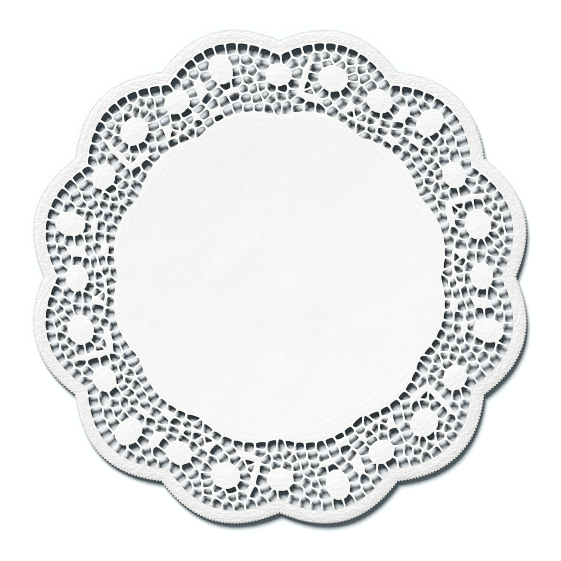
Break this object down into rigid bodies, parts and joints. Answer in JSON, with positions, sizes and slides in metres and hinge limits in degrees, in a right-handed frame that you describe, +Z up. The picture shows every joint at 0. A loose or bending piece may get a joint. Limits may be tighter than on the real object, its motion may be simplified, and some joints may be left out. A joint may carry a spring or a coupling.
{
  "type": "paper doily",
  "caption": "Round white paper doily with a plain centre, a ring of net lace with roses and leaves, and a plain scalloped border.",
  "frame": {"origin": "on the table under the middle of the doily, at the underside of its flat centre", "axes": "+Z up out of the table, +Y from the middle to the notch between two lobes, +X to the right of it"},
  "size_m": [0.2928, 0.2928, 0.0054],
  "materials": {
    "paper": "matte embossed white paper"
  },
  "bodies": {
    "root": {"doily": "paper"}
  },
  "joints": []
}
